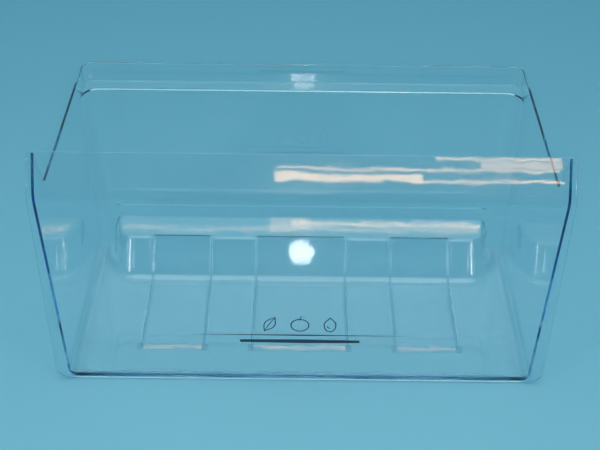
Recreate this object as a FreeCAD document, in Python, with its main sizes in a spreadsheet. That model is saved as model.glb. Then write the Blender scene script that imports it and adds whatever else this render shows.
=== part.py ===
"""Fridge crisper drawer: one clear injection moulding, open at the top.

The origin is under the middle of the drawer, on the plane that its skids rest on. +X runs along the
front panel, +Y points to the back of the fridge and +Z points up. The drawer is modelled as it is
moulded: an outer form, minus the core that leaves the wall between them, joined to the front panel.
"""
import FreeCAD, Part
import os
import Sketcher

doc = FreeCAD.newDocument("crisper_drawer")
sheet = doc.addObject("Spreadsheet::Sheet", "sheet")

# Driving sizes in millimetres, angles in degrees
SIZES = {
    "depth": 262,
    "wall": 2.4,
    "panel_width": 485,
    "panel_bottom": 1.6,
    "panel_wall": 2.6,
    "bend_over_rim": 12,
    "lip_rise": 32.4,
    "panel_bend_radius": 17,
    "panel_lean": 38,
    "panel_foot_radius": 13,
    "panel_ear_radius": 4,
    "side_draft": 1.9,
    "back_draft": 9.29,
    "tub_corner_radius": 20,
    "floor_fillet": 8,
    "skid_depth": 2,
    "rim_width": 474,
    "band_height": 21,
    "back_step": 17.5,
    "band_corner_radius": 12,
    "rim_height": 213,
    "ear_depth": 40,
    "ear_foot_radius": 8,
    "edge_radius": 0.9,
    "hump_width": 420,
    "hump_height": 36.5,
    "hump_foot": 151,
    "hump_lean": 39,
    "hump_corner_radius": 25,
    "hump_lip_radius": 8,
    "hump_foot_radius": 16,
    "skid_front": 40,
    "skid_ramp": 11,
    "skid_edge_radius": 4,
    "side_skid_width": 72.5,
    "side_skid_centre": 131.2,
    "middle_skid_width": 107,
}
for row, (name, size) in enumerate(SIZES.items(), start=1):
    sheet.set(f"A{row}", name)
    sheet.set(f"B{row}", str(size))
    sheet.setAlias(f"B{row}", name)
doc.recompute()

# Places that several features share, written with the sheet's sizes
FRONT = "(-sheet.depth / 2)"
FLOOR_UNDER = "sheet.skid_depth"
FLOOR_TOP = "(sheet.skid_depth + sheet.wall)"
LEDGE = "(sheet.skid_depth + sheet.wall + sheet.hump_height)"
SHOULDER = "(sheet.rim_height - sheet.band_height)"
SHOULDER_UNDER = f"({SHOULDER} - sheet.wall)"
SHOULDER_BACK = "(sheet.depth / 2 - sheet.back_step)"
SIDE_RUN = "tan(sheet.side_draft * 1deg)"
BACK_RUN = "tan(sheet.back_draft * 1deg)"
CLEAR = "40"  # how far a cutting form runs past the solid that it cuts
SINK = "0.25"  # how far the plane round the hump's foot lies inside the floor
SAME = 0.01  # two lengths that differ by less count as the same
STEEP = 0.7  # an edge that rises by more of its length than this is a standing one
SLOPE_RUN = "tan(sheet.hump_lean * 1deg)"

# The panel's lip: its virtual corners on the front, middle and back of the wall, and its top
LIP_RUN = "tan(sheet.panel_lean * 1deg)"
BEND = "(sheet.rim_height + sheet.bend_over_rim)"
BEND_MIDDLE = f"({BEND} - sheet.panel_wall / 2 * tan(sheet.panel_lean * 0.5deg))"
BEND_BACK = f"({BEND} - sheet.panel_wall * tan(sheet.panel_lean * 0.5deg))"
PANEL_TOP = f"({BEND} + sheet.lip_rise)"
LIP_BACK_TOP = f"({PANEL_TOP} - sheet.panel_wall * sin(sheet.panel_lean * 1deg))"
EAR_TOP = f"({PANEL_TOP} - sheet.panel_wall)"


def number(expression):
    """The present value of an expression of the sheet's sizes."""
    return float(sheet.evalExpression(expression))


def new_body(name):
    """An empty body with its own origin planes."""
    body = doc.addObject("PartDesign::Body", name)
    doc.recompute()
    return body


def outline(body, name, plane, loops, height=None):
    """A sketch of closed polygons, each corner tied to two expressions of the sheet's sizes."""
    sketch = body.newObject("Sketcher::SketchObject", name)
    support = [f for f in body.Origin.OriginFeatures if f.Role == plane]
    sketch.AttachmentSupport = [(support[0], "")]
    sketch.MapMode = "FlatFace"
    if height:
        sketch.setExpression("AttachmentOffset.Base.z", height)
    for loop in loops:
        corners = [FreeCAD.Vector(number(a), number(b), 0) for a, b in loop]
        first = sketch.GeometryCount
        count = len(loop)
        for i in range(count):
            sketch.addGeometry(Part.LineSegment(corners[i], corners[(i + 1) % count]), False)
        for i in range(count):
            end, start = first + i, first + (i + 1) % count
            sketch.addConstraint(Sketcher.Constraint("Coincident", end, 2, start, 1))
        for i, (a, b) in enumerate(loop):
            for kind, text, value in (("X", a, corners[i].x), ("Y", b, corners[i].y)):
                at = sketch.addConstraint(
                    Sketcher.Constraint("Distance" + kind, -1, 1, first + i, 1, value)
                )
                sketch.setExpression(f"Constraints[{at}]", text)
    return sketch


def pad(body, sketch, length, both_sides=True):
    """A pad of the sketch, on both sides of its plane or upwards from it."""
    feature = body.newObject("PartDesign::Pad", sketch.Name + "_pad")
    feature.Profile = sketch
    feature.Midplane = both_sides
    feature.setExpression("Length", length)
    doc.recompute()
    return feature


def pocket(body, sketch, length):
    """A pocket of the sketch, on both sides of its plane."""
    before = body.Shape.Volume
    feature = body.newObject("PartDesign::Pocket", sketch.Name + "_pocket")
    feature.Profile = sketch
    feature.Midplane = True
    feature.setExpression("Length", length)
    doc.recompute()
    if feature.Shape.Volume >= before:
        raise RuntimeError(f"{feature.Name} cuts nothing")
    return feature


def rounded(body, name, radius, chosen):
    """A fillet on the edges of the body's last feature that pass the test chosen(edge)."""
    base = body.Tip
    names = [f"Edge{i}" for i, e in enumerate(base.Shape.Edges, start=1) if chosen(e)]
    if not names:
        raise RuntimeError(f"{name} finds no edge")
    feature = body.newObject("PartDesign::Fillet", name)
    feature.Base = (base, names)
    feature.setExpression("Radius", radius)
    doc.recompute()
    return feature


def middle(edge):
    """The point halfway along an edge."""
    return edge.valueAt((edge.FirstParameter + edge.LastParameter) / 2)


def close(a, b):
    """True for two lengths that count as the same."""
    return abs(a - b) < SAME


def is_steep(edge):
    """True for an edge that rises by most of its length."""
    return edge.BoundBox.ZLength > STEEP * edge.Length


def at_height(edge, z):
    """True for an edge that lies flat at the height z."""
    return close(edge.BoundBox.ZLength, 0) and close(middle(edge).z, z)


def is_slope(edge):
    """True for a straight edge that runs up the hump's sloped front."""
    run = edge.Vertexes[-1].Point - edge.Vertexes[0].Point
    if not close(run.Length, edge.Length) or not close(run.x, 0):
        return False
    return close(abs(run.y), abs(run.z) * number(SLOPE_RUN))


def side_x(inset, z):
    """X on the tub's side, moved in by inset, at the height z."""
    return f"(sheet.rim_width / 2 - {inset} + ({z} - sheet.rim_height) * {SIDE_RUN})"


def back_y(inset, z):
    """Y on the tub's back below the shoulder, moved in by inset, at the height z."""
    return f"({SHOULDER_BACK} - {inset} + ({z} - {SHOULDER}) * {BACK_RUN})"


def tub_form(name, inset, start, underside, ledge, top):
    """The tub, moved in by inset: drafted sides, and a leaning back with the rim's band on a ledge."""
    body = new_body(name)
    section = outline(body, name + "_section", "XZ_Plane", [[
        (f"-{side_x(inset, underside)}", underside),
        (side_x(inset, underside), underside),
        (side_x(inset, top), top),
        (f"-{side_x(inset, top)}", top),
    ]])
    pad(body, section, f"sheet.depth + 2 * {CLEAR}")
    below = f"({FLOOR_UNDER} - {CLEAR})"
    above = f"({top} + {CLEAR})"
    past_front = f"{FRONT} - 2 * {CLEAR}"
    past_back = f"sheet.depth / 2 + 2 * {CLEAR}"
    band_back = f"(sheet.depth / 2 - {inset})"
    ends = outline(body, name + "_ends", "YZ_Plane", [
        [(past_front, below), (start, below), (start, above), (past_front, above)],
        [
            (back_y(inset, below), below),
            (past_back, below),
            (past_back, above),
            (band_back, above),
            (band_back, ledge),
            (back_y(inset, ledge), ledge),
        ],
    ])
    pocket(body, ends, f"sheet.rim_width + 2 * {CLEAR}")
    ledge_z = number(ledge)
    rounded(
        body, name + "_back_corners", f"sheet.tub_corner_radius - {inset}",
        lambda e: is_steep(e) and middle(e).y > 0 and middle(e).z < ledge_z,
    )
    rounded(
        body, name + "_band_corners", f"sheet.band_corner_radius - {inset}",
        lambda e: is_steep(e) and middle(e).y > 0 and middle(e).z > ledge_z,
    )
    return body


def lip_y(offset, z):
    """Y on the panel's slanted lip, moved back by offset along its normal, at the height z."""
    along = f"({z} - {BEND}) * {LIP_RUN}"
    return f"({FRONT} + {along} + ({offset}) / cos(sheet.panel_lean * 1deg))"


def slope_y(offset, z):
    """Y on the hump's sloped front, moved back by offset along its normal, at the height z."""
    along = f"({z} - {FLOOR_TOP}) * {SLOPE_RUN}"
    return f"({FRONT} + sheet.hump_foot + {along} + ({offset}) / cos(sheet.hump_lean * 1deg))"


def hump_form(name, inset):
    """The rear hump, moved in by inset, on a plane just inside the floor: slope, ledge, rounded foot."""
    body = new_body(name)
    plane = f"({FLOOR_TOP} - {inset} - {SINK})"
    top = f"({LEDGE} - {inset})"
    past_back = f"(sheet.depth / 2 + {CLEAR})"
    low = f"({plane} - {CLEAR})"
    slab = outline(body, name + "_plane", "YZ_Plane", [[
        (f"{slope_y(inset, plane)} - 2 * {CLEAR}", low),
        (past_back, low),
        (past_back, plane),
        (f"{slope_y(inset, plane)} - 2 * {CLEAR}", plane),
    ]])
    pad(body, slab, f"sheet.hump_width + 4 * {CLEAR}")
    side = outline(body, name + "_side", "YZ_Plane", [[
        (slope_y(inset, low), low),
        (past_back, low),
        (past_back, top),
        (slope_y(inset, top), top),
    ]])
    pad(body, side, f"sheet.hump_width - 2 * {inset}")
    rounded(body, name + "_corners", f"sheet.hump_corner_radius - {inset}", is_slope)
    height = number(top)
    rounded(
        body, name + "_lip", f"sheet.hump_lip_radius - {inset}",
        lambda e: at_height(e, height) and e.BoundBox.YMin < number("sheet.depth / 2"),
    )
    foot = number(plane)
    half = number(f"sheet.hump_width / 2 - {inset}")
    front = number(slope_y(inset, plane))
    rounded(
        body, name + "_foot", f"sheet.hump_foot_radius + {inset}",
        lambda e: at_height(e, foot) and abs(middle(e).x) < half + SAME and middle(e).y > front - SAME,
    )
    return body


def skid_forms(name, inset, offset, top):
    """Three strips along the floor and up the hump's slope, sunk by offset, with a ramp in front."""
    strips = {
        "left": ("-sheet.side_skid_centre", "sheet.side_skid_width"),
        "middle": (None, "sheet.middle_skid_width"),
        "right": ("sheet.side_skid_centre", "sheet.side_skid_width"),
    }
    floor = f"({FLOOR_TOP} - {offset})"
    over = f"({FLOOR_TOP} + 2 * sheet.skid_edge_radius)"
    in_front = "-2 * sheet.hump_foot_radius"
    ramp_start = f"({FRONT} + sheet.skid_front)"
    ramp_end = f"({ramp_start} + sheet.skid_ramp)"
    points = [
        (ramp_start, over),
        (ramp_start, f"{floor} + sheet.skid_depth"),
        (ramp_end, floor),
        (slope_y(offset, floor), floor),
        (slope_y(offset, top), top),
        (slope_y(in_front, top), top),
        (slope_y(in_front, over), over),
    ]
    floor_z, foot_y = number(floor), number(slope_y(offset, floor))
    bodies = []
    for place, (centre, width) in strips.items():
        body = new_body(f"{name}_{place}")
        side = outline(body, f"{name}_{place}_side", "YZ_Plane", [points], centre)
        pad(body, side, f"{width} - 2 * {inset}")
        rounded(
            body, f"{name}_{place}_foot", f"sheet.hump_foot_radius + {offset}",
            lambda e: at_height(e, floor_z) and close(middle(e).y, foot_y),
        )
        bodies.append(body)
    return bodies


def joined(name, shapes):
    """One solid of several that overlap."""
    union = doc.addObject("Part::MultiFuse", name)
    union.Shapes = shapes
    return union


def less(name, base, tool):
    """The base without what the tool takes up."""
    rest = doc.addObject("Part::Cut", name)
    rest.Base = base
    rest.Tool = tool
    return rest


outer_start = f"({FRONT} + sheet.panel_wall / 2)"
core_start = f"({FRONT} + sheet.panel_wall)"
over_rim = f"({PANEL_TOP} + {CLEAR})"

# The outer form: tub, recess under the hump, ears beside the lip, and skids
outer_tub = tub_form("outer_tub", "0", outer_start, FLOOR_UNDER, SHOULDER_UNDER, "sheet.rim_height")
rounded(
    outer_tub, "outer_floor_edge", "sheet.floor_fillet + sheet.wall",
    lambda e: at_height(e, number(FLOOR_UNDER)) and not close(middle(e).y, number(outer_start)),
)
recess = hump_form("recess", "sheet.wall")
ears = new_body("ears")
ears_side = outline(ears, "ears_side", "YZ_Plane", [[
    (outer_start, SHOULDER),
    (f"{FRONT} + sheet.ear_depth", SHOULDER),
    (f"{FRONT} + sheet.ear_depth", "sheet.rim_height"),
    (lip_y("sheet.panel_wall", EAR_TOP), EAR_TOP),
    (lip_y("sheet.panel_wall / 2", EAR_TOP), EAR_TOP),
    (lip_y("sheet.panel_wall / 2", BEND_MIDDLE), BEND_MIDDLE),
]])
pad(ears, ears_side, f"sheet.rim_width + 2 * {CLEAR}")
past_side = f"(sheet.rim_width / 2 + 2 * {CLEAR})"
ears_sides = outline(ears, "ears_sides", "XZ_Plane", [
    [
        (f"{sign}{side_x('0', FLOOR_UNDER)}", FLOOR_UNDER),
        (f"{sign}{past_side}", FLOOR_UNDER),
        (f"{sign}{past_side}", over_rim),
        (f"{sign}{side_x('0', over_rim)}", over_rim),
    ]
    for sign in ("-", "")
])
pocket(ears, ears_sides, f"sheet.depth + 2 * {CLEAR}")
strip = "(sheet.wall + sheet.skid_depth)"
outer_skids = skid_forms("outer_skid", "0", strip, f"({LEDGE} - sheet.wall / 2)")
outer = joined("outer", [less("outer_low", outer_tub, recess), ears, *outer_skids])

# The core: the space inside the drawer, with the hollow side of the skids
core_tub = tub_form("core_tub", "sheet.wall", core_start, FLOOR_TOP, SHOULDER, over_rim)
rounded(core_tub, "core_floor_edge", "sheet.floor_fillet", lambda e: at_height(e, number(FLOOR_TOP)))
hump = hump_form("hump", "0")
core_skids = skid_forms("core_skid", "sheet.wall", "sheet.skid_depth", f"({LEDGE} + sheet.wall)")
skid_middle = number(f"{FLOOR_TOP} - sheet.skid_depth / 2")
for skid in core_skids:
    rounded(
        skid, skid.Name + "_edges", "sheet.skid_edge_radius",
        lambda e: e.BoundBox.XLength < SAME and not is_steep(e) and middle(e).z < skid_middle + SAME,
    )
core = joined("core", [less("core_low", core_tub, hump), *core_skids])
doc.recompute()

# The front panel: a plate that overhangs the tub, with its top bent back as a lip
panel = new_body("front_panel")
side = outline(panel, "panel_side", "YZ_Plane", [[
    (FRONT, "sheet.panel_bottom"),
    (f"{FRONT} + sheet.panel_wall", "sheet.panel_bottom"),
    (f"{FRONT} + sheet.panel_wall", BEND_BACK),
    (lip_y("sheet.panel_wall", LIP_BACK_TOP), LIP_BACK_TOP),
    (lip_y("0", PANEL_TOP), PANEL_TOP),
    (FRONT, BEND),
]])
pad(panel, side, "sheet.panel_width")
panel_front, panel_back = number(FRONT), number(core_start)


def bend_edge(edge, y, z):
    """True for the panel's long edge at the place y, z."""
    return edge.BoundBox.XLength > SAME and close(middle(edge).y, y) and close(middle(edge).z, z)


rounded(
    panel, "panel_bend_front", "sheet.panel_bend_radius + sheet.panel_wall",
    lambda e: bend_edge(e, panel_front, number(BEND)),
)
rounded(
    panel, "panel_bend_back", "sheet.panel_bend_radius",
    lambda e: bend_edge(e, panel_back, number(BEND_BACK)),
)
rounded(
    panel, "panel_foot_corners", "sheet.panel_foot_radius",
    lambda e: e.BoundBox.XLength < SAME and at_height(e, number("sheet.panel_bottom")),
)
rounded(
    panel, "panel_top_corners", "sheet.panel_ear_radius",
    lambda e: e.BoundBox.XLength < SAME and e.BoundBox.ZMin > number(LIP_BACK_TOP) - SAME,
)
panel_side = number("sheet.panel_width / 2")
rounded(
    panel, "panel_edges", "sheet.edge_radius",
    lambda e: is_steep(e) and close(e.BoundBox.XLength, 0) and close(abs(middle(e).x), panel_side),
)

# The finished moulding: shell and panel in one, with the rim and the edges of the ears rounded
shell = less("shell", outer, core)
union = doc.addObject("Part::Fuse", "union")
union.Base = shell
union.Tool = panel
union.Refine = True
doc.recompute()
drawer = new_body("drawer")
drawer.BaseFeature = union
drawer.Label = "crisper_drawer"
doc.recompute()
rim, ear_back = number("sheet.rim_height"), number(f"{FRONT} + sheet.ear_depth")
rounded(
    drawer, "ear_foot", "sheet.ear_foot_radius",
    lambda e: at_height(e, rim) and close(middle(e).y, ear_back) and close(e.BoundBox.YLength, 0),
)
rounded(
    drawer, "rim_edges", "sheet.edge_radius",
    lambda e: at_height(e, rim) and middle(e).y > ear_back,
)

for item in doc.Objects:
    if "Invalid" in item.State or "Error" in item.State:
        raise RuntimeError(f"{item.Name} failed: {item.State}")
shape = drawer.Shape
if shape.isNull() or not shape.isValid() or len(shape.Solids) != 1:
    raise RuntimeError("the drawer is not one valid solid")
os.makedirs("parts", exist_ok=True)
shape.exportStep(f"parts/{drawer.Label}.step")
box = shape.optimalBoundingBox()
print(f"{drawer.Label}: {shape.Volume / 1000:.0f} cm3, {len(shape.Faces)} faces")
print(f"box {box.XLength:.1f} x {box.YLength:.1f} x {box.ZLength:.1f}, lowest {box.ZMin:.2f}")
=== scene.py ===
# %% [markdown]
# # A clear fridge drawer
# The drawer is one moulding in clear polystyrene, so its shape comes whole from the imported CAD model.
# What is left for Blender is what the eye sees in such a thing: the finish of the plastic, the print
# on the front panel, and light that shows up a wall that is nearly invisible.

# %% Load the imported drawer
import math

import bpy
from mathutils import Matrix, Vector


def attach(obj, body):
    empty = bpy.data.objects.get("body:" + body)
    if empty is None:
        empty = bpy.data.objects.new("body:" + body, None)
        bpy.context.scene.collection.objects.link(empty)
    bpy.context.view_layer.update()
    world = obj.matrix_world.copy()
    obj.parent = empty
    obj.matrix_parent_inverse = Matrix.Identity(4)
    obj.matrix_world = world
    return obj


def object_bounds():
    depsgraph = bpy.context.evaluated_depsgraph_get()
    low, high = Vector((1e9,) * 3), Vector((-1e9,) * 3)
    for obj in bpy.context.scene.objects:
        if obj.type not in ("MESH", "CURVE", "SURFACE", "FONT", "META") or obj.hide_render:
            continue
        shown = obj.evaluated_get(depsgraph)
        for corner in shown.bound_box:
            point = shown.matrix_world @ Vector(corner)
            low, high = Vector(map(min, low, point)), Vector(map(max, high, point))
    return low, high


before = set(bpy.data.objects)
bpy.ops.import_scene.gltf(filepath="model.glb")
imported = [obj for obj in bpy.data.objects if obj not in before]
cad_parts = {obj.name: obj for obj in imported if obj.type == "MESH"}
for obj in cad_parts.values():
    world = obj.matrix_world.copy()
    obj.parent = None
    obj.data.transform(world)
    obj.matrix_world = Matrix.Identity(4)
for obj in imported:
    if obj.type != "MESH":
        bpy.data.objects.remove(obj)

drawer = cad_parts["crisper_drawer"]
cad_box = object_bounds()
low, high = cad_box
print("drawer box in metres:", [round(b - a, 4) for a, b in zip(low, high)])

# %% [markdown]
# ## The camera
# The photograph looks down at the front of the drawer from a little over a metre away. A camera can be
# aimed at the object by a constraint, but here its lens and height were solved from the rim, the floor
# lines and the panel's edges, so it is placed by its eye point and its tilt. The picture leans by more
# than half a degree, which a small roll repeats.

# %% Camera
MM = 0.001
EYE = (0.0, -905.6 * MM, 801.2 * MM)
LENS_MM = 66.0
SENSOR_MM = 36.0
LOOK_DOWN = math.radians(37.9)
ROLL = math.radians(0.65)
PICTURE_WIDTH = 600
CENTRE_OFF_PIXELS = 1.0

camera_data = bpy.data.cameras.new("photo_camera")
camera_data.lens = LENS_MM
camera_data.sensor_width = SENSOR_MM
camera_data.shift_x = -CENTRE_OFF_PIXELS / PICTURE_WIDTH
camera = bpy.data.objects.new("photo_camera", camera_data)
camera.location = EYE
camera.rotation_mode = "ZYX"
camera.rotation_euler = (math.pi / 2 - LOOK_DOWN, 0.0, ROLL)
bpy.context.collection.objects.link(camera)
bpy.context.scene.camera = camera
print("camera eye:", [round(v, 3) for v in camera.location])

# %% [markdown]
# ## The floor
# Clear plastic has no colour to speak of: it shows what lies behind it. On white paper its edges could
# only be darker, and on black paper only brighter. A pale blue sheet leaves room for both, and it is a
# plane so large that the photograph's view doesn't reach its edge.

# %% Helpers for materials and pieces


def new_material(name):
    """A node material and its Principled shader."""
    material = bpy.data.materials.new(name)
    material.use_nodes = True
    return material, material.node_tree.nodes["Principled BSDF"]


def add_node(material, kind, **values):
    """A node of that kind with its inputs set by name."""
    node = material.node_tree.nodes.new(kind)
    for name, value in values.items():
        node.inputs[name.replace("_", " ")].default_value = value
    return node


def link(material, source, target):
    """A wire from one socket to another."""
    material.node_tree.links.new(source, target)


def deselect_all():
    """Operators act on all that is selected, so each piece starts from nothing selected."""
    bpy.ops.object.select_all(action="DESELECT")


# %% Pale paper floor
FLOOR_SIZE = 24.0
FLOOR_DROP = 0.5 * MM
PAPER_BLUE = (0.2, 0.43, 0.52, 1.0)
PAPER_ROUGHNESS = 0.9
PAPER_SHINE = 0.1

paper, paper_shader = new_material("pale_paper")
paper_shader.inputs["Base Color"].default_value = PAPER_BLUE
paper_shader.inputs["Roughness"].default_value = PAPER_ROUGHNESS
paper_shader.inputs["Specular IOR Level"].default_value = PAPER_SHINE

deselect_all()
bpy.ops.mesh.primitive_plane_add(size=FLOOR_SIZE, location=(0.0, 0.0, -FLOOR_DROP))
floor = bpy.context.object
floor.name = "paper_floor"
floor.data.materials.append(paper)
print("floor:", floor.name, FLOOR_SIZE, "m")

# %% [markdown]
# ## The sky
# A clear wall shows by what it mirrors and bends, so what stands round the drawer matters as much as
# the lamps. A picture of a real studio could be wrapped round the scene, but its parts can't be moved
# one by one. A colour ramp does better: it is a quiet blue towards the horizon, and brightest high up
# and a little behind the drawer, from where it lights the paper.

# %% Sky
HORIZON = (0.13, 0.36, 0.48, 1.0)
MIDDLE_SKY = (0.25, 0.6, 0.74, 1.0)
BRIGHT_SKY = (0.62, 1.1, 1.25, 1.0)
BRIGHT_AXIS = (0.0, 0.3, 0.954)
HORIZON_TO = 0.5
MIDDLE_AT = 0.72
BRIGHT_FROM = 0.9
SKY_STRENGTH = 0.84

world = bpy.data.worlds.new("studio")
bpy.context.scene.world = world
world.use_nodes = True
nodes = world.node_tree.nodes
wires = world.node_tree.links
sky = nodes["Background"]
sky.inputs["Strength"].default_value = SKY_STRENGTH
direction = nodes.new("ShaderNodeTexCoord")
towards = nodes.new("ShaderNodeVectorMath")
towards.operation = "DOT_PRODUCT"
towards.inputs[1].default_value = BRIGHT_AXIS
ramp = nodes.new("ShaderNodeValToRGB")
ramp.color_ramp.elements[0].color = HORIZON
ramp.color_ramp.elements[0].position = HORIZON_TO
ramp.color_ramp.elements[1].color = BRIGHT_SKY
ramp.color_ramp.elements[1].position = BRIGHT_FROM
middle_stop = ramp.color_ramp.elements.new(MIDDLE_AT)
middle_stop.color = MIDDLE_SKY
wires.new(direction.outputs["Generated"], towards.inputs[0])
wires.new(towards.outputs["Value"], ramp.inputs["Fac"])
wires.new(ramp.outputs["Color"], sky.inputs["Color"])
print("sky stops:", len(ramp.color_ramp.elements))

# %% [markdown]
# ## The lamps
# A softbox overhead gives the even light and the faint shadow. The rest are there to be mirrored, each
# by one face: a flash by the camera in the sloped front of the rear step, a lamp at each side in that
# step's rounded corners, and thin warm strips in the lip, the top of the step and the ramps of the
# skids. Broader lamps would do for a solid thing, but clear plastic shows them as white patches. A
# strip's place follows from the face: light leaves a mirror at the angle at which it comes in.

# %% Helpers for lamps
WHITE_LAMP = (1.0, 0.97, 0.92)
WARM_LAMP = (1.0, 0.56, 0.28)
STRIP_AIM_Z = 0.15


def area_lamp(name, place, target, size, glow, colour=WHITE_LAMP):
    """A rectangular lamp that faces a target point. Glow is watts per steradian and square metre."""
    data = bpy.data.lights.new(name, "AREA")
    data.shape = "RECTANGLE"
    data.size, data.size_y = size
    data.energy = glow * math.pi * data.size * data.size_y
    data.color = colour
    lamp = bpy.data.objects.new(name, data)
    lamp.location = place
    aim = (Vector(target) - Vector(place)).to_track_quat("-Z", "Y")
    lamp.rotation_euler = aim.to_euler()
    lamp.visible_camera = False
    bpy.context.collection.objects.link(lamp)
    return lamp


def strip_lamp(name, left, right, y, z, thickness, glow):
    """A thin warm lamp along X, level, that faces the drawer."""
    middle = (left + right) / 2
    target = (middle, 0.0, STRIP_AIM_Z)
    return area_lamp(name, (middle, y, z), target, (right - left, thickness), glow, WARM_LAMP)


# %% White lamps
SOFTBOX_PLACE = (0.0, -0.2, 0.95)
SOFTBOX_TARGET = (0.0, -0.2, 0.0)
SOFTBOX_SIZE = (1.2, 0.7)
SOFTBOX_GLOW = 1.2
CORNER_X, CORNER_Y, CORNER_Z = 1.17, -1.3, 1.14
STEP_END_X, STEP_END_Y, STEP_END_Z = 0.2, 0.05, 0.03
CORNER_SIZE = (0.2, 0.3)
CORNER_GLOW = 24.0
FLASH_PLACE = (0.0, -0.914, 0.79)
FLASH_TARGET = (0.0, 0.04, 0.03)
FLASH_WIDTH = 0.056
FLASH_GLOW = 170.0

area_lamp("overhead_softbox", SOFTBOX_PLACE, SOFTBOX_TARGET, SOFTBOX_SIZE, SOFTBOX_GLOW)
for name, side in (("left_corner_glint", -1), ("right_corner_glint", 1)):
    corner_place = (side * CORNER_X, CORNER_Y, CORNER_Z)
    step_end = (side * STEP_END_X, STEP_END_Y, STEP_END_Z)
    area_lamp(name, corner_place, step_end, CORNER_SIZE, CORNER_GLOW)
flash = area_lamp("camera_flash", FLASH_PLACE, FLASH_TARGET, (FLASH_WIDTH, FLASH_WIDTH), FLASH_GLOW)
flash.data.shape = "DISK"

# %% Warm strips
FRONT_Y = -1.98
BACK_Y = 1.65
# Each strip: its left and right ends, its height above the floor, its thickness and its glow
LIP_STRIPS = {
    "lip_streak_top": (0.42, 0.82, 1.921, 0.009, 6.0),
    "lip_streak_broad": (0.56, 0.82, 1.896, 0.02, 4.5),
    "lip_streak_long": (-0.08, 0.81, 1.873, 0.007, 7.0),
    "lip_streak_thick": (-0.08, 0.375, 1.836, 0.024, 7.0),
    "lip_streak_end": (0.375, 0.82, 1.826, 0.008, 7.0),
}
STEP_AND_SKID_STRIPS = {
    "step_band": (-0.55, 0.53, 1.285, 0.009, 2.5),
    "step_blotches": (-0.03, 0.53, 1.262, 0.012, 5.0),
    "step_patch": (-0.09, 0.03, 1.26, 0.05, 2.0),
    "skid_ramp_lines": (-0.5, 0.5, 0.762, 0.008, 3.2),
}

for strips, y in ((LIP_STRIPS, FRONT_Y), (STEP_AND_SKID_STRIPS, BACK_Y)):
    for name, (left, right, z, thickness, glow) in strips.items():
        strip_lamp(name, left, right, y, z, thickness, glow)

# %% [markdown]
# ## Clear plastic
# Polystyrene bends light a little more than window glass. Light that runs along inside a wall takes up
# a deep blue, which is why the ends of the walls look dark. A blue shader colour would tint every wall
# alike, so the inside of the plastic absorbs a little of the light instead, red most of all, and a
# long way through it is bluer than a short one. A thin coat that is less smooth than the plastic
# spreads a faint haze round the brightest glints.

# %% Clear polystyrene
POLYSTYRENE_IOR = 1.58
PLASTIC_COLOUR = (0.985, 0.995, 1.0, 1.0)
INSIDE_TINT = (0.1, 0.6, 0.85, 1.0)
INSIDE_DENSITY = 6.5
HAZE_WEIGHT = 0.15
HAZE_ROUGHNESS = 0.17

clear, clear_shader = new_material("clear_plastic")
clear_shader.inputs["Base Color"].default_value = PLASTIC_COLOUR
clear_shader.inputs["IOR"].default_value = POLYSTYRENE_IOR
clear_shader.inputs["Transmission Weight"].default_value = 1.0
clear_shader.inputs["Coat Weight"].default_value = HAZE_WEIGHT
clear_shader.inputs["Coat Roughness"].default_value = HAZE_ROUGHNESS
inside = add_node(clear, "ShaderNodeVolumeAbsorption", Color=INSIDE_TINT, Density=INSIDE_DENSITY)
link(clear, inside.outputs["Volume"], clear.node_tree.nodes["Material Output"].inputs["Volume"])
clear_place = add_node(clear, "ShaderNodeTexCoord")

drawer.data.materials.clear()
drawer.data.materials.append(clear)
print("drawer material:", drawer.data.materials[0].name)

# %% [markdown]
# ## Waves and rubs
# The mould is polished, but the plastic shrinks as it cools and keeps a slow waviness, with small
# ripples on it. They are far too shallow to model in the mesh, so a bump map bends the mirrored streaks
# as they do. Handling dulls the polish in places, and a third noise makes those a little less smooth.

# %% Waves in the surface
WAVES_PER_METRE = 17.0
WAVE_DETAIL = 2.0
WAVE_ROUGHNESS = 0.45
WAVE_HEIGHT = 0.075 * MM
RIPPLES_PER_METRE = 70.0
RIPPLE_DETAIL = 1.0
RIPPLE_SHARE = 0.16

waves = add_node(
    clear, "ShaderNodeTexNoise", Scale=WAVES_PER_METRE, Detail=WAVE_DETAIL, Roughness=WAVE_ROUGHNESS
)
ripples = add_node(clear, "ShaderNodeTexNoise", Scale=RIPPLES_PER_METRE, Detail=RIPPLE_DETAIL)
both = add_node(clear, "ShaderNodeMath")
both.operation = "MULTIPLY_ADD"
both.inputs[1].default_value = RIPPLE_SHARE
wavy = add_node(clear, "ShaderNodeBump", Strength=1.0, Distance=WAVE_HEIGHT)
link(clear, clear_place.outputs["Object"], waves.inputs["Vector"])
link(clear, clear_place.outputs["Object"], ripples.inputs["Vector"])
link(clear, ripples.outputs["Fac"], both.inputs[0])
link(clear, waves.outputs["Fac"], both.inputs[2])
link(clear, both.outputs["Value"], wavy.inputs["Height"])
link(clear, wavy.outputs["Normal"], clear_shader.inputs["Normal"])
print("waves per metre:", WAVES_PER_METRE, "ripples per metre:", RIPPLES_PER_METRE)

# %% Rubbed places
RUBS_PER_METRE = 24.0
RUB_DETAIL = 3.0
RUB_STARTS = 0.35
RUB_FULL = 0.75
POLISHED = 0.015
RUBBED = 0.035

rubs = add_node(clear, "ShaderNodeTexNoise", Scale=RUBS_PER_METRE, Detail=RUB_DETAIL)
dulled = add_node(
    clear, "ShaderNodeMapRange", From_Min=RUB_STARTS, From_Max=RUB_FULL, To_Min=POLISHED, To_Max=RUBBED
)
link(clear, clear_place.outputs["Object"], rubs.inputs["Vector"])
link(clear, rubs.outputs["Fac"], dulled.inputs["Value"])
link(clear, dulled.outputs["Result"], clear_shader.inputs["Roughness"])
print("roughness from", POLISHED, "to", RUBBED)

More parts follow.
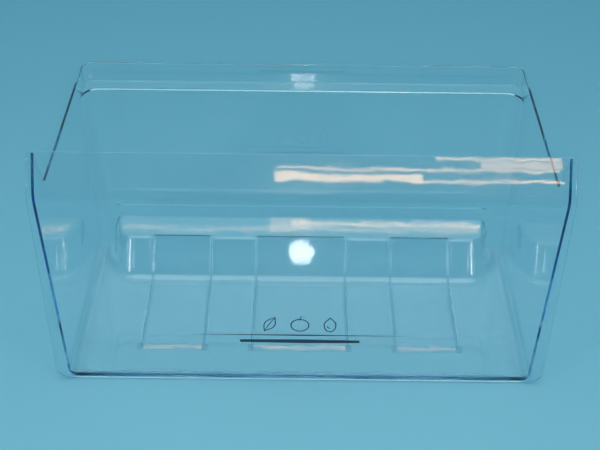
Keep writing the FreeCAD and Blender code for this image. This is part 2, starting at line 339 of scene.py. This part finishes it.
# %% [markdown]
# ## Ink
# The front panel carries a small screen print in dark ink. Printed ink is never quite even, so a fine
# noise mixes a dark and a slightly worn blue. It could be a mask in the plastic's own material, but ink
# lies only on the panel's front face and has a sharp edge, and a thin film gives both more simply.

# %% Ink
INK_BLUE = (0.012, 0.03, 0.055, 1.0)
INK_WORN = (0.03, 0.065, 0.1, 1.0)
INK_GRAIN = 900.0
INK_DETAIL = 2.0
INK_ROUGHNESS = 0.45

ink, ink_shader = new_material("panel_ink")
ink_place = add_node(ink, "ShaderNodeTexCoord")
ink_grain = add_node(ink, "ShaderNodeTexNoise", Scale=INK_GRAIN, Detail=INK_DETAIL)
ink_colours = add_node(ink, "ShaderNodeValToRGB")
ink_colours.color_ramp.elements[0].color = INK_BLUE
ink_colours.color_ramp.elements[1].color = INK_WORN
link(ink, ink_place.outputs["Object"], ink_grain.inputs["Vector"])
link(ink, ink_grain.outputs["Fac"], ink_colours.inputs["Fac"])
link(ink, ink_colours.outputs["Color"], ink_shader.inputs["Base Color"])
ink_shader.inputs["Roughness"].default_value = INK_ROUGHNESS
print("ink:", ink.name)

# %% [markdown]
# ## From a curve to a film of ink
# A printed line could be cut out of a plane, but each line here starts as a curve, because handles
# give round and pointed shapes with few points and a radius at each point gives thin ends. The curve's
# bevel gives the line its width. It then becomes a mesh and is pressed flat on the panel's face.

# %% A line of ink
PRINT_Y = low[1]
INK_FILM = 0.04 * MM
ROUND_STEPS = 2
CURVE_STEPS = 10


def lay_ink(name, line_width):
    """The active curve as a flat film of ink on the panel."""
    line = bpy.context.object
    line.name = name
    line.data.bevel_depth = line_width / 2
    line.data.bevel_resolution = ROUND_STEPS
    line.data.resolution_u = CURVE_STEPS
    line.data.use_fill_caps = True
    bpy.ops.object.convert(target="MESH")
    bpy.ops.object.transform_apply(location=True, rotation=True, scale=True)
    bpy.ops.object.mode_set(mode="EDIT")
    bpy.ops.mesh.select_all(action="SELECT")
    bpy.ops.mesh.normals_make_consistent(inside=False)
    thin = 2 * INK_FILM / line_width
    bpy.ops.transform.resize(value=(1.0, thin, 1.0), center_override=(0.0, PRINT_Y, 0.0))
    bpy.ops.object.mode_set(mode="OBJECT")
    line.data.materials.append(ink)
    return line


print("ink film in millimetres:", INK_FILM / MM)

# %% Closed outlines and open strokes
UPRIGHT = (math.pi / 2, 0.0, 0.0)
TOP_POINT = 1


def ink_loop(name, centre, width, height, line_width, pointed_top=False):
    """A closed outline: an oval round the centre, sharp at its top where that is asked for."""
    deselect_all()
    bpy.ops.curve.primitive_bezier_circle_add(
        radius=0.5, location=(centre[0], PRINT_Y, centre[1]), rotation=UPRIGHT
    )
    points = bpy.context.object.data.splines[0].bezier_points
    for point in points:
        for corner in (point.co, point.handle_left, point.handle_right):
            corner.x *= width
            corner.y *= height
    if pointed_top:
        points[TOP_POINT].handle_left_type = "VECTOR"
        points[TOP_POINT].handle_right_type = "VECTOR"
    return lay_ink(name, line_width)


def ink_stroke(name, start, end, line_width, sag=0.0, ends=1.0):
    """An open line between two points of the panel, bowed sideways by sag, with thinner ends."""
    deselect_all()
    bpy.ops.curve.primitive_bezier_curve_add(location=(0.0, PRINT_Y, 0.0), rotation=UPRIGHT)
    spline = bpy.context.object.data.splines[0]
    spline.bezier_points.add(1)
    first = Vector((start[0], start[1], 0.0))
    last = Vector((end[0], end[1], 0.0))
    along = last - first
    bow = Vector((-along.y, along.x, 0.0)).normalized() * sag
    places = (first, first.lerp(last, 0.5) + bow, last)
    for point, place, radius in zip(spline.bezier_points, places, (ends, 1.0, ends)):
        point.co = place
        point.handle_left_type = "AUTO"
        point.handle_right_type = "AUTO"
        point.radius = radius
    return lay_ink(name, line_width)


def one_picture(name, lines):
    """Several ink lines as one piece."""
    deselect_all()
    for line in lines:
        line.select_set(True)
    bpy.context.view_layer.objects.active = lines[0]
    bpy.ops.object.join()
    picture = bpy.context.object
    picture.name = name
    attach(picture, "root")
    print("print:", name, len(picture.data.polygons), "faces")
    return picture


# %% [markdown]
# ## The rule and the bar
# A fine rule runs across the middle of the panel and thins out at both ends, with a short bar below
# it. Both are straight strokes: only their widths and the radius at their ends differ.

# %% The rule and the bar
RULE_Z = 63 * MM
RULE_LEFT = -105 * MM
RULE_RIGHT = 102 * MM
RULE_WIDTH = 1.8 * MM
RULE_ENDS = 0.15
BAR_Z = 55 * MM
BAR_HALF = 58 * MM
BAR_WIDTH = 5 * MM
BAR_ENDS = 0.7

rule = ink_stroke("rule_line", (RULE_LEFT, RULE_Z), (RULE_RIGHT, RULE_Z), RULE_WIDTH, ends=RULE_ENDS)
one_picture("print_rule", [rule])
bar = ink_stroke("bar_line", (-BAR_HALF, BAR_Z), (BAR_HALF, BAR_Z), BAR_WIDTH, ends=BAR_ENDS)
one_picture("print_bar", [bar])

# %% [markdown]
# ## The pictures
# Above the rule are three line pictures of what a drawer like this is for: a leaf, a round fruit and a
# drop. They are drawn with one pen, each in its own column. A leaf is two strokes that bow to either
# side of a rib. The fruit and the drop are ovals, and the drop's top point is made sharp.

# %% The leaf
PICTURE_Z = 77 * MM
PICTURE_STEP = 29 * MM
PICTURE_HEIGHT = 18 * MM
PEN = 1.15 * MM
LEAF_LEAN = 0.3 * PICTURE_HEIGHT
LEAF_RISE = 0.5 * PICTURE_HEIGHT
LEAF_BELLY = 0.27 * PICTURE_HEIGHT
LEAF_ENDS = 0.8
RIB_SAG = 0.4 * MM
RIB_ENDS = 0.4

leaf_foot = (-PICTURE_STEP - LEAF_LEAN, PICTURE_Z - LEAF_RISE)
leaf_tip = (-PICTURE_STEP + LEAF_LEAN, PICTURE_Z + LEAF_RISE)
leaf_left = ink_stroke("leaf_left", leaf_foot, leaf_tip, PEN, sag=LEAF_BELLY, ends=LEAF_ENDS)
leaf_right = ink_stroke("leaf_right", leaf_foot, leaf_tip, PEN, sag=-LEAF_BELLY, ends=LEAF_ENDS)
leaf_rib = ink_stroke("leaf_rib", leaf_foot, leaf_tip, PEN, sag=RIB_SAG, ends=RIB_ENDS)
one_picture("print_leaf", [leaf_left, leaf_right, leaf_rib])

# %% The fruit
FRUIT_DROP = 1 * MM
FRUIT_WIDTH = 0.95 * PICTURE_HEIGHT
FRUIT_HEIGHT = 0.85 * PICTURE_HEIGHT
STALK_FOOT = 0.3 * PICTURE_HEIGHT
STALK_TOP = 0.6 * PICTURE_HEIGHT
STALK_LEAN = 2 * MM
STALK_SAG = 0.6 * MM
STALK_ENDS = 0.7

fruit = ink_loop("fruit_edge", (0.0, PICTURE_Z - FRUIT_DROP), FRUIT_WIDTH, FRUIT_HEIGHT, PEN)
stalk_foot = (0.0, PICTURE_Z + STALK_FOOT)
stalk_top = (STALK_LEAN, PICTURE_Z + STALK_TOP)
stalk = ink_stroke("fruit_stalk", stalk_foot, stalk_top, PEN, sag=STALK_SAG, ends=STALK_ENDS)
one_picture("print_fruit", [fruit, stalk])

# %% The drop
DROP_WIDTH = 0.62 * PICTURE_HEIGHT
GLINT_LEFT = 2.4 * MM
GLINT_TOP = 1 * MM
GLINT_FOOT = 5 * MM
GLINT_SAG = -0.9 * MM
GLINT_ENDS = 0.5

drop = ink_loop("drop_edge", (PICTURE_STEP, PICTURE_Z), DROP_WIDTH, PICTURE_HEIGHT, PEN, pointed_top=True)
glint_top = (PICTURE_STEP - GLINT_LEFT, PICTURE_Z - GLINT_TOP)
glint_foot = (PICTURE_STEP, PICTURE_Z - GLINT_FOOT)
glint = ink_stroke("drop_glint", glint_top, glint_foot, PEN, sag=GLINT_SAG, ends=GLINT_ENDS)
one_picture("print_drop", [drop, glint])

# %% [markdown]
# ## Finish
# Light that is caught inside a clear wall bounces between its two faces dozens of times before it
# comes out, so the renderer is allowed that many bounces. With fewer, every wall's end turns black.
# Its glossy filter blurs the light that passes through plastic on its way to the paper, which greys
# the floor of the drawer, so the filter is turned down.

# %% Finish
LIGHT_BOUNCES = 96
GLOSSY_FILTER = 0.1

scene = bpy.context.scene
scene.view_settings.view_transform = "Standard"
scene.cycles.max_bounces = LIGHT_BOUNCES
scene.cycles.glossy_bounces = LIGHT_BOUNCES
scene.cycles.transmission_bounces = LIGHT_BOUNCES
scene.cycles.blur_glossy = GLOSSY_FILTER
